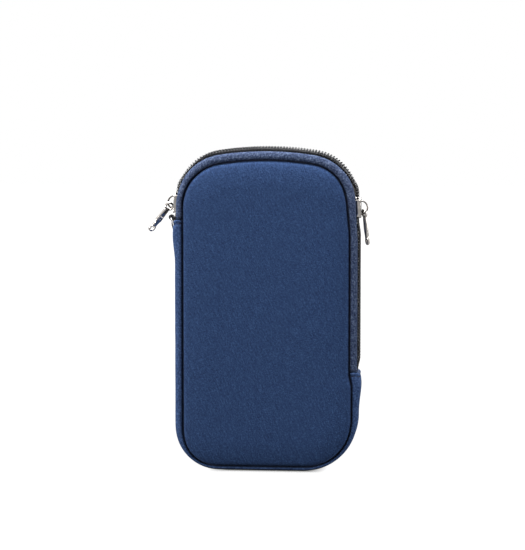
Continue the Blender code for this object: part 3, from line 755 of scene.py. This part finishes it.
# A point of the band's outer face, with its puff and uneven swell
def bandPoint(s, turn, above=0.0):
    swell = drift(s, bandShape["seedRow"], bandShape["unevenSize"], bandShape["seed"])
    swell = bandShape["puff"] + bandShape["unevenness"] * swell
    height, depth = dippedPoint(s, turn, -(swell * sin(radians(turn * 2)) + above))
    return height, depth - grooveDrop(height + seamInset(s) - outline["gap"] / 2)


def bandRing(s):
    last = bandShape["turns"] - 1
    ring = [bandPoint(s, 90 * (1 - j / last)) for j in range(last + 1)]
    # a half-round lip at the zip edge, then the inner face back to the seam
    radius = bandWall(0) / 2
    tipHeight, tipDepth = ring[-1]
    for k in range(1, bandShape["lipTurns"] + 1):
        turn = pi * k / (bandShape["lipTurns"] + 1)
        ring.append((tipHeight - radius + radius * cos(turn), tipDepth - radius * sin(turn)))
    last = bandShape["innerTurns"] - 1
    for k in range(last + 1):
        turn = bandShape["innerEnd"] * k / last
        ring.append(dippedPoint(s, turn, bandWall(turn)))
    return ring


def buildBand(where, side):
    count = ceil((zipFinish - zipStart) / bandShape["step"])
    stations = [zipStart + (zipFinish - zipStart) * i / count for i in range(count + 1)]
    band = skinStrip(where + "BandFoam", stations, bandRing, side, 1)
    wear(band, jerseyBand)
    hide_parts(where + "_zip_band")
    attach(band, "sleeve")


for where, side in sides.items():
    buildBand(where, side)
print("zip bands made")


def gussetRing(s):
    last = gussetShape["turns"] - 1
    turns = [90 * (1 - j / last) for j in range(last + 1)]
    half = [gussetPoint(s, turn) for turn in turns]
    inner = [gussetPoint(s, turn, -zipper["seamThickness"]) for turn in turns]
    height, depth = half[-1]
    ring = [(h, -d) for h, d in half]
    ring += [(height, -depth * share) for share in gussetShape["middleShares"]]
    return ring + half[::-1] + inner + [(h, -d) for h, d in reversed(inner)]


def buildGusset():
    run = gussetRight - gussetLeft
    count = ceil(run / gussetShape["step"])
    close = [gussetShape["foldRadius"] * (1 - cos(radians(a))) for a in gussetShape["foldTurns"]]
    close += gussetShape["endRings"]
    clear = close[-1] + gussetShape["endGap"]
    stations = [gussetLeft + run * i / count for i in range(count + 1)]
    stations = [s for s in stations if min(s - gussetLeft, gussetRight - s) > clear]
    stations = [gussetLeft + c for c in close] + stations
    stations += [gussetRight - c for c in reversed(close)]
    gusset = skinStrip("lowerGussetFoam", stations, gussetRing, 1, -1)
    wear(gusset, jerseyGusset)
    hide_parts("lower_gusset")
    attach(gusset, "sleeve")


buildGusset()
print("gusset made")

# The sewn seam deep in each groove: the raw edges' overlock, which closes the gap from outside
seamShape = {"depth": 6.6, "width": 1.6, "height": 1.1, "step": 0.65, "waver": 0.12}


# A closed path along a panel's seam, with the lifts taken in turn
def seamPath(count, lifts, depth):
    points, outs = [], []
    for i in range(count):
        s = wholeLength * i / count
        at = skinFrame(s)
        points.append(placeAt(at, lifts[i % len(lifts)] - seamInset(s), depth))
        outs.append(at[1])
    return points, outs


def buildSeam(where, side):
    waver = seamShape["waver"]
    count = 2 * ceil(wholeLength / seamShape["step"] / 2)
    points, _ = seamPath(count, (-waver, waver), side * seamShape["depth"])
    seam = sweep(
        where + "SeamOverlock", [(points, [Vector((0, 1, 0))] * count)],
        seamShape["width"], seamShape["height"], facets=8, closed=True,
    )
    wear(seam, navyThread)
    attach(seam, "sleeve")


for where, side in sides.items():
    buildSeam(where, side)

# Stitches across the folded gusset ends, and along the ends of the zip bands
stitchShape = {
    "wire": 0.42, "points": 6, "proud": 0.08,
    "sink": 0.35,  # how far each stitch's ends go into the foam
    "gussetTurns": ((84, 58), (46, 16)),
    "gussetDepths": ((-3.6, -1.5), (-1.0, 1.0), (1.5, 3.6)),
    "bandLine": 0.9, "bandTurns": ((84, 62), (52, 28)),
}


# One stitch: surface gives (height, depth, length round the skin) at a share from 0 to 1 of it
def stitch(surface):
    line, ups = [], []
    for k in range(stitchShape["points"]):
        share = k / (stitchShape["points"] - 1)
        above = stitchShape["proud"] - stitchShape["sink"] * (2 * share - 1) ** 4
        height, depth, s = surface(share, above)
        line.append(placeAt(skinFrame(s), height, depth))
        ups.append(skinFrame(s)[1])
    return line, ups


def buildEndStitches():
    crease, line = gussetShape["crease"], stitchShape["bandLine"]
    gussetWays = stitchShape["gussetTurns"], stitchShape["gussetDepths"]
    bandWays = stitchShape["bandTurns"], ()
    paths = []
    for facePoint, s, sign, away, (turns, depths) in (
        (gussetPoint, gussetRight - crease, 1, crease, gussetWays),
        (gussetPoint, gussetLeft + crease, -1, crease, gussetWays),
        (bandPoint, zipStart + line, 1, line, bandWays),
        (bandPoint, zipFinish - line, -1, line, bandWays),
    ):
        for side in sides.values():
            for first, last in turns:
                def across(share, above):
                    height, depth = facePoint(s, first + (last - first) * share, above)
                    return height, side * depth, s + sign * slanted(away, depth)

                paths.append(stitch(across))
        for first, last in depths:
            def over(share, above):
                return facePoint(s, 0, above)[0], first + (last - first) * share, s

            paths.append(stitch(over))
    stitches = sweep("endStitches", paths, stitchShape["wire"])
    wear(stitches, navyThread)
    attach(stitches, "sleeve")


buildEndStitches()
print("seams sewn")

# Zip tapes: woven strips from under the coil to under the band
tapeShape = {
    "step": 1.2, "across": 14, "thickness": 0.5,
    "backs": (1.1, 1.7, 2.3, 2.9),  # back from the row's nose
    "tuckTurns": (16.0, 24.0, 32.0, 41.0, 50.0),  # then round under the band's foam
    "acrossStep": 0.6,
}


def alongLine(line, share):
    lengths = [(b - a).length for a, b in zip(line, line[1:])]
    goal = share * sum(lengths)
    for (a, b), length in zip(zip(line, line[1:]), lengths):
        if goal <= length or b is line[-1]:
            return a.lerp(b, min(1.0, goal / length))
        goal -= length


def buildTape(where, side):
    count = ceil((chainFinish - zipStart) / tapeShape["step"])
    last = tapeShape["across"] - 1
    half = tapeShape["thickness"] / 2
    rings = []
    for i in range(count + 1):
        s = zipStart + (chainFinish - zipStart) * i / count
        skin, chain = skinFrame(s), chainFrame(s)
        line = [(chain, chainPoint(s, back, -half)) for back in tapeShape["backs"]]
        for turn in tapeShape["tuckTurns"]:
            line.append((skin, dippedPoint(s, turn, bandWall(turn) + half)))
        line = [placeAt(at, height, side * depth) for at, (height, depth) in line]
        line = [alongLine(line, k / last) for k in range(last + 1)]
        out, across = skin[1], Vector((0, side, 0))
        upper, lower = [], []
        for k, point in enumerate(line):
            run = (line[min(k + 1, last)] - line[max(k - 1, 0)]).normalized()
            up = (out * run.dot(across) - across * run.dot(out)).normalized()
            upper.append(point + up * half * mm)
            lower.append(point - up * half * mm)
        rings.append(upper + lower[::-1])

    def laid(i, j):
        return (min(j, 2 * last + 2 - j) * tapeShape["acrossStep"], i * tapeShape["step"])

    tape = skinRings(where + "ZipTape", rings, laid)
    wear(tape, blackTape)
    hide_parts(where + "_zip_tape")
    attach(tape, "sleeve")


for where, side in sides.items():
    buildTape(where, side)
print("zip tapes made")

# Coils: one nylon filament a side, wound into flattened loops with a wider nose
coilShape = {
    "wire": 0.52,
    "stagger": 0.25,  # each row lies this share of a pitch off, in opposite ways, so that they mesh
    # (back from the nose, height, share of the pitch) round one loop
    "loop": (
        (1.55, 1.12, -0.20), (0.95, 1.13, -0.17), (0.45, 1.12, -0.13), (0.27, 0.98, -0.08),
        (0.2, 0.7, 0.0), (0.27, 0.42, 0.08), (0.45, 0.28, 0.13), (0.95, 0.27, 0.18),
        (1.55, 0.27, 0.24), (2.05, 0.3, 0.34), (2.22, 0.5, 0.44), (2.25, 0.72, 0.52),
        (2.2, 0.95, 0.62), (2.0, 1.1, 0.72),
    ),
}
fillerShape = {"back": 1.3, "up": 0.7, "width": 1.7, "height": 0.5}  # the cord inside the coil
threadShape = {
    "wire": 0.2, "rows": (1.15, 1.85), "over": 1.42, "under": 1.2, "sway": 0.12,
    "points": 4,  # a pitch
}


# The path of a sweep along one row, through places given as (length, back, up)
def rowPath(side, places):
    points, ups = [], []
    for s, back, up in places:
        at = chainFrame(s)
        height, depth = chainPoint(s, back, up)
        points.append(placeAt(at, height, side * depth))
        ups.append(at[1])
    return points, ups


def buildCoil(where, side):
    turns = round((chainFinish - zipStart) / zipper["pitch"])
    pitch = (chainFinish - zipStart) / turns
    places = []
    for i in range(turns):
        middle = zipStart + (i + 0.5 + side * coilShape["stagger"]) * pitch
        for back, up, share in coilShape["loop"]:
            places.append((min(chainFinish, max(zipStart, middle + share * pitch)), back, up))
    points, ups = rowPath(side, places)
    ups = [up.cross(Vector((0, 1, 0))) for up in ups]
    coil = sweep(where + "CoilFilament", [(points, ups)], coilShape["wire"], facets=8)
    wear(coil, coilNylon)
    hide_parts(where + "_zip_coil")
    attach(coil, "sleeve")
    paths = []
    for back in threadShape["rows"]:
        places = []
        for i in range(turns * threadShape["points"]):
            s = zipStart + (i + 0.5) * pitch / threadShape["points"]
            phase = 2 * pi * (i - 2.0 + side) / threadShape["points"]
            lift = (threadShape["over"] - threadShape["under"]) * (0.5 - 0.5 * cos(phase))
            places.append((s, back + threadShape["sway"] * sin(phase), threadShape["under"] + lift))
        paths.append(rowPath(side, places))
    thread = sweep(where + "CoilThread", paths, threadShape["wire"], facets=5)
    wear(thread, sewingThread)
    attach(thread, "sleeve")
    back, up = fillerShape["back"], fillerShape["up"]
    path = rowPath(side, [(zipStart + (i + 0.5) * pitch, back, up) for i in range(turns)])
    filler = sweep(
        where + "CoilFiller", [path], fillerShape["width"], fillerShape["height"], facets=8,
    )
    wear(filler, sewingThread)
    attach(filler, "sleeve")


for where, side in sides.items():
    buildCoil(where, side)
print("coils made")

# Seam bindings: folded tape over the raw seams inside
bindingShape = {"width": 1.8, "inset": 1.0, "depth": 5.95, "step": 1.5}


def buildBinding(where, side):
    count = ceil(wholeLength / bindingShape["step"])
    path = seamPath(count, (-bindingShape["inset"],), side * bindingShape["depth"])
    binding = sweep(where + "BindingTape", [path], bindingShape["width"], facets=10, closed=True)
    wear(binding, bindingTape)
    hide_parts(where + "_seam_binding")
    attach(binding, "sleeve")


for where, side in sides.items():
    buildBinding(where, side)
print("bindings made")

# Strap loop: webbing folded round an eye, both layers running in between zip end and gusset
loopShape = {
    "out": 2.5, "rise": 1.9, "hole": 0.44, "wall": 0.86, "width": 3.4,
    "inside": 4.2, "layerPoints": 8, "layerGap": 0.75,
    # (out from the eye, above its layer) where the layers close in on it
    "upperNeck": ((1.7, 0.1), (1.25, 0.45)), "lowerNeck": ((1.2, 0.0), (1.7, 0.0)),
    "eyeFrom": 58.0, "eyeTo": 328.0, "eyePoints": 17,
    "facets": 16, "squareWidth": 1.25, "squareWall": 1.6,  # cut the oval section square
    "laidAcross": 0.4, "laidAlong": 0.45,
}


def buildLoop():
    shape = loopShape
    middle = Vector((-halfWidth - shape["out"], 0, endLeft + shape["rise"]))
    radius = shape["hole"] + shape["wall"] / 2
    low = outline["gap"] - shape["rise"] + shape["wall"] / 2
    high = low + shape["layerGap"]
    last = shape["layerPoints"] - 1
    layer = [shape["out"] + shape["inside"] * k / last for k in range(last + 1)]
    line = [(x, high) for x in reversed(layer)] + [(x, high + z) for x, z in shape["upperNeck"]]
    for k in range(shape["eyePoints"]):
        share = k / (shape["eyePoints"] - 1)
        turn = radians(shape["eyeFrom"] + (shape["eyeTo"] - shape["eyeFrom"]) * share)
        line.append((radius * cos(turn), radius * sin(turn)))
    line += [(x, low + z) for x, z in shape["lowerNeck"]] + [(x, low) for x in layer]
    rings = []
    for i, spot in enumerate(line):
        before, after = line[max(0, i - 1)], line[min(len(line) - 1, i + 1)]
        along = Vector((after[0] - before[0], 0, after[1] - before[1])).normalized()
        out = Vector((along.z, 0, -along.x))
        ring = []
        for k in range(shape["facets"]):
            turn = 2 * pi * k / shape["facets"]
            across = shape["width"] / 2 * max(-1, min(1, shape["squareWidth"] * cos(turn)))
            rise = shape["wall"] / 2 * max(-1, min(1, shape["squareWall"] * sin(turn)))
            ring.append((middle + Vector((spot[0], across, spot[1])) + out * rise) * mm)
        rings.append(ring)

    def laid(i, j):
        return (j * shape["laidAcross"], i * shape["laidAlong"])

    loop = skinRings("strapLoopWebbing", rings, laid)
    wear(loop, blackWebbing)
    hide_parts("strap_loop")
    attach(loop, "sleeve")


buildLoop()
print("strap loop made")

# Metal pieces keep their CAD shape, with tumbled edges
tumbling = {"join": 0.001, "edge": 0.3, "wireEdge": 0.12, "segments": 3, "angle": 28.0}
metalFinish = {
    "right_slider_body": sliderNickel, "left_slider_body": sliderNickel,
    "right_slider_crown": crownNickelDarkReflection, "left_slider_crown": crownNickelDarkReflection,
    "right_pull": pullNickel, "left_pull": pullNickel, "strap_ring": ringSteel,
}
for nodeName, metal in metalFinish.items():
    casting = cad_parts[nodeName]
    wear(casting, metal)
    joined = casting.modifiers.new("joinedFaces", "WELD")
    joined.merge_threshold = tumbling["join"] * mm
    soft = casting.modifiers.new("tumbledEdges", "BEVEL")
    soft.width = tumbling["wireEdge" if nodeName == "strap_ring" else "edge"] * mm
    soft.segments = tumbling["segments"]
    soft.limit_method = "ANGLE"
    soft.angle_limit = radians(tumbling["angle"])
    soft.harden_normals = True
    for face in casting.data.polygons:
        face.use_smooth = True
print("metal finished")

# Camera: its turn and rise in degrees, its distance and the height of its view in metres, and
# the middle of its view in mm right and up
view = {"turn": 5.5, "rise": 5.0, "distance": 1.1, "height": 0.275, "right": -2.4, "up": 96.06}
turn, rise = radians(view["turn"]), radians(view["rise"])
toCamera = Vector((sin(turn) * cos(rise), -cos(turn) * cos(rise), sin(rise)))
rightward = Vector((cos(turn), sin(turn), 0))
upward = toCamera.cross(rightward)
aim = (rightward * view["right"] + upward * view["up"]) * mm
lens = bpy.data.cameras.new("studioCamera")
lens.sensor_fit = "VERTICAL"
lens.lens = lens.sensor_height * view["distance"] / view["height"]
camera = addObject("studioCamera", lens)
camera.matrix_world = Matrix.Translation(aim + toCamera * view["distance"]) @ Matrix(
    (rightward, upward, toCamera)
).transposed().to_4x4()
bpy.context.scene.camera = camera

# Lamps: place and size in metres, and watts
lamps = {
    "keyLamp": ((-0.25, -0.42, 0.62), 0.35, 1.2),
    "topLamp": ((-0.04, -0.03, 0.6), 0.3, 6.2),
    "leftLamp": ((-0.78, -0.3, 0.2), 0.3, 5.5),
    "rightLamp": ((0.78, -0.3, 0.2), 0.3, 4.4),
    "rearLamp": ((0.0, 0.7, 0.5), 0.3, 5.0),
}
lampAim = Vector((0, 0, 0.08))
for lampName, (place, size, watts) in lamps.items():
    light = bpy.data.lights.new(lampName, "AREA")
    light.size = size
    light.energy = watts
    lamp = addObject(lampName, light)
    lamp.location = place
    lamp.visible_camera = False
    lamp.rotation_euler = (lampAim - Vector(place)).to_track_quat("-Z", "Y").to_euler()

# The room: white to the camera and in the metal, and a soft light on everything else
roomLook = {"softLight": 0.07, "white": 1.0}
room = bpy.data.worlds.new("studioRoom")
bpy.context.scene.world = room
room.use_nodes = True
room.node_tree.nodes.clear()
roomRays = addNode(room, "LightPath").outputs
seen = roomRays["Is Camera Ray"]
for rayKind in ("Is Glossy Ray", "Is Transmission Ray"):
    seen = addNode(room, "Math", {"operation": "MAXIMUM"}, {0: seen, 1: roomRays[rayKind]})
softLight, whiteRoom = (
    addNode(room, "Background", {"Color": (1, 1, 1, 1), "Strength": roomLook[level]})
    for level in ("softLight", "white")
)
both = addNode(room, "MixShader", {}, {0: seen, 1: softLight, 2: whiteRoom})
addNode(room, "OutputWorld", {}, {"Surface": both})

# Painted board: white to the camera, with a painted contact shadow where AO under the sleeve lowers
# the glow
boardLook = {
    "paint": (0.03, 0.03, 0.03, 1),
    "shadeReach": 0.01,  # metres, as below
    "paintedContactShadow": (0.3, 0.62, 0.08, 1.12),  # painted contact shadow: how open it is under the sleeve, to glow brightness
    "clear": (0.02, 0.03, 0.0, 1.12),  # no painted shadow further off than this
    "fade": (0.04, 0.25, 0.9, 1.0),  # near the sleeve a little of the paint shows
    "inMetal": 0.4,  # how bright it is in reflections
}
board = newMaterial("paintedBoard")
paint = addNode(board, "BsdfDiffuse", {"Color": boardLook["paint"]})
place = addNode(board, "TexCoord").outputs["Object"]
away = addNode(board, "VectorMath", {"operation": "LENGTH"}, {0: place}).outputs["Value"]
nearby = addNode(
    board, "AmbientOcclusion", {"samples": 12, "Distance": boardLook["shadeReach"]},
).outputs["AO"]
paintedContactShadow, clear, fade = (
    addNode(board, "MapRange", dict(zip(mapEnds, boardLook[ends])), {"Value": source})
    for ends, source in (("paintedContactShadow", nearby), ("clear", away), ("fade", away))
)
# The glow's strength, lowered by the painted contact shadow
white = addNode(board, "Math", {"operation": "MAXIMUM"}, {0: paintedContactShadow, 1: clear})
glow = addNode(board, "Emission", {"Color": (1, 1, 1, 1)}, {"Strength": white})
boardRays = addNode(board, "LightPath").outputs
seenGlow = addNode(
    board, "Math", {"operation": "MULTIPLY_ADD", 1: boardLook["inMetal"]},
    {0: boardRays["Is Glossy Ray"], 2: boardRays["Is Camera Ray"]},
)
glowShare = addNode(board, "Math", {"operation": "MULTIPLY"}, {0: seenGlow, 1: fade})
boardMix = addNode(board, "MixShader", {}, {0: glowShare, 1: paint, 2: glow})
endMaterial(board, boardMix)
floor = addSheet("studioFloor", ((-3, -3, 0), (3, -3, 0), (3, 3, 0), (-3, 3, 0)))
floor.location.z = -0.0002  # just under the gusset, so the two don't flicker
wear(floor, board)

# Black cards beside the camera, out of its view, give the bright metal its dark lines
cardBlack = newMaterial("blackCard")
matt = addNode(cardBlack, "BsdfDiffuse", {"Color": (0.01, 0.01, 0.01, 1)})
endMaterial(cardBlack, matt)
cards = {
    # name: (middle, half width, half height)
    "lensCard": ((-0.085, -0.92, 0.09), 0.13, 0.085),
    "leftCard": ((-0.5, -0.62, 0.2), 0.1, 0.6),
    "rightCard": ((0.42, -0.7, 0.2), 0.1, 0.6),
    "backLeftCard": ((-0.6, 0.5, 0.2), 0.3, 0.6),
    "backRightCard": ((0.6, 0.5, 0.2), 0.3, 0.6),
}
for cardName, (place, wide, high) in cards.items():
    corners = ((-wide, -high), (wide, -high), (wide, high), (-wide, high))
    card = addSheet(cardName, [(x, 0, z) for x, z in corners])
    card.location = place
    card.rotation_euler.z = -Vector((0, 1)).angle_signed(Vector(place).to_2d())
    card.visible_camera = card.visible_diffuse = card.visible_shadow = False
    wear(card, cardBlack)

bpy.context.scene.view_settings.view_transform = "Standard"
print("studio made")
